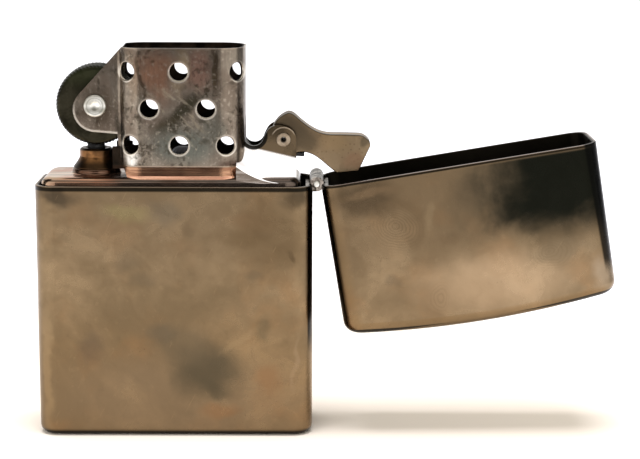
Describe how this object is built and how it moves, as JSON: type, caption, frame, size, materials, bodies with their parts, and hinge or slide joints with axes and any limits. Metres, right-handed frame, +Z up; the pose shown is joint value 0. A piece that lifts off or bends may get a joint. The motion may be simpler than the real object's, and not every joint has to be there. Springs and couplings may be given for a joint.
{
  "type": "flip-top lighter",
  "caption": "Flip-top windproof petrol lighter standing with its lid swung open, showing the pierced chimney, flint wheel and lid cam.",
  "frame": {"origin": "centre of the case's flat bottom, on the surface it stands on", "axes": "+Z up, +X from the flint wheel towards the lid's hinge, -Y out of the front face"},
  "size_m": [0.0801, 0.013, 0.0538],
  "materials": {
    "case": "worn satin plating, handled and finger-marked",
    "lid": "worn satin plating, handled and finger-marked",
    "hinge": "worn plating, dark in the joints",
    "pins": "bright rounded rivet heads",
    "insert": "polished, a little tarnished",
    "chimney": "brushed, stained by heat",
    "wheel": "cut file teeth, dark",
    "tube": "tarnished brass",
    "flint": "matt grey",
    "spring_steel": "blackened spring steel",
    "cam": "worn plating, speckled",
    "wick": "braided cord, charred at the top",
    "wire": "fine copper-coloured wire",
    "cotton": "loose packing",
    "felt": "pressed felt"
  },
  "bodies": {
    "case": {"case_body": "case", "hinge_leaf_case": "hinge", "hinge_pin": "pins", "insert_tank": "insert", "chimney": "chimney", "cam_lug_front": "insert", "cam_lug_rear": "insert", "cam_spring": "spring_steel", "cam_rivet": "pins", "wheel_rivet": "pins", "flint_tube": "tube", "flint_spring": "spring_steel", "flint_spring_tip": "tube", "flint": "flint", "wick": "wick", "wick_wire": "wire", "cotton_packing": "cotton", "felt_pad": "felt"},
    "lid": {"lid_shell": "lid", "hinge_leaf_lid": "hinge"},
    "cam": {"cam_lever": "cam"},
    "wheel": {"flint_wheel": "wheel"},
    "screw": {"flint_screw": "tube"}
  },
  "joints": [
    {"name": "lid_hinge", "type": "hinge", "parent": "case", "child": "lid", "pos_m": [0.0196, 0, 0.0352], "axis": [0, -1, 0], "range_deg": [0, 170.5]},
    {"name": "cam_pivot", "type": "hinge", "parent": "case", "child": "cam", "pos_m": [0.01502, 0, 0.04112], "axis": [0, -1, 0], "range_deg": [0, 104.1], "deforming": ["cam_spring"]},
    {"name": "flint_wheel_spin", "type": "hinge", "parent": "case", "child": "wheel", "pos_m": [-0.01072, 0, 0.0458], "axis": [0, 1, 0], "continuous": true},
    {"name": "flint_screw_turn", "type": "hinge", "parent": "case", "child": "screw", "pos_m": [-0.011, 0, 0.004], "axis": [0, 0, 1], "continuous": true}
  ],
  "couplings": [
    {"joint": "cam_pivot", "follows": "lid_hinge", "ratio": 0.61}
  ]
}
